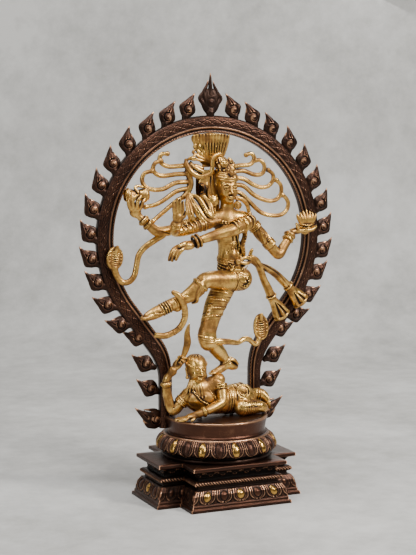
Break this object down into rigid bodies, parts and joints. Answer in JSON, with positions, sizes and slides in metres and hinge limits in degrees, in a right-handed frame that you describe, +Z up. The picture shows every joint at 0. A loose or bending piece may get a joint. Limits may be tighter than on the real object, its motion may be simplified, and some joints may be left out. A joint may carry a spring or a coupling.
{
  "type": "dancing figure statue",
  "caption": "Cast brass statue of a many-armed dancer on a prone dwarf, framed by a flaming arch, on a drum, a lotus collar and a stepped plinth.",
  "frame": {"origin": "on the resting surface, under the middle of the plinth", "axes": "+Z up, +X to the viewer's right when facing the statue, -Y out of the statue's front"},
  "size_m": [0.4016, 0.181, 0.61],
  "materials": {
    "dark_brass": "dark brown patina over brass, raised edges rubbed back to copper",
    "gold_brass": "polished golden brass with dark antiqued crevices",
    "steel": "plain machined steel"
  },
  "bodies": {
    "root": {"ankle_scarf": "gold_brass", "arch_flames_left": "dark_brass", "arch_flames_right": "dark_brass", "arch_nuts": "steel", "arch_ring": "dark_brass", "arch_studs": "steel", "arch_washers": "steel", "arm_cobra": "gold_brass", "back_hair": "gold_brass", "bangles": "gold_brass", "bridge_bar": "steel", "crest_flame": "dark_brass", "crown_fan": "gold_brass", "damaru": "gold_brass", "dwarf_body": "gold_brass", "dwarf_head": "gold_brass", "dwarf_legs": "gold_brass", "dwarf_nuts": "steel", "dwarf_raised_arm": "gold_brass", "dwarf_resting_arm": "gold_brass", "dwarf_studs": "steel", "dwarf_sword": "gold_brass", "dwarf_washers": "steel", "earrings": "gold_brass", "front_left_arm": "gold_brass", "front_right_arm": "gold_brass", "hair_curl": "gold_brass", "hair_left": "gold_brass", "hair_right": "gold_brass", "hand_flame": "gold_brass", "head": "gold_brass", "head_band": "gold_brass", "knee_cobra": "gold_brass", "lotus_collar": "dark_brass", "necklace": "gold_brass", "pedestal_drum": "dark_brass", "plinth": "dark_brass", "raised_leg": "gold_brass", "rear_left_arm": "gold_brass", "rear_right_arm": "gold_brass", "sash_tails": "gold_brass", "shoulder_scarf": "gold_brass", "standing_leg": "gold_brass", "tie_nut": "steel", "tie_rod": "steel", "tie_washer": "steel", "topknot": "gold_brass", "torso": "gold_brass", "waist_belt": "gold_brass"}
  },
  "joints": []
}
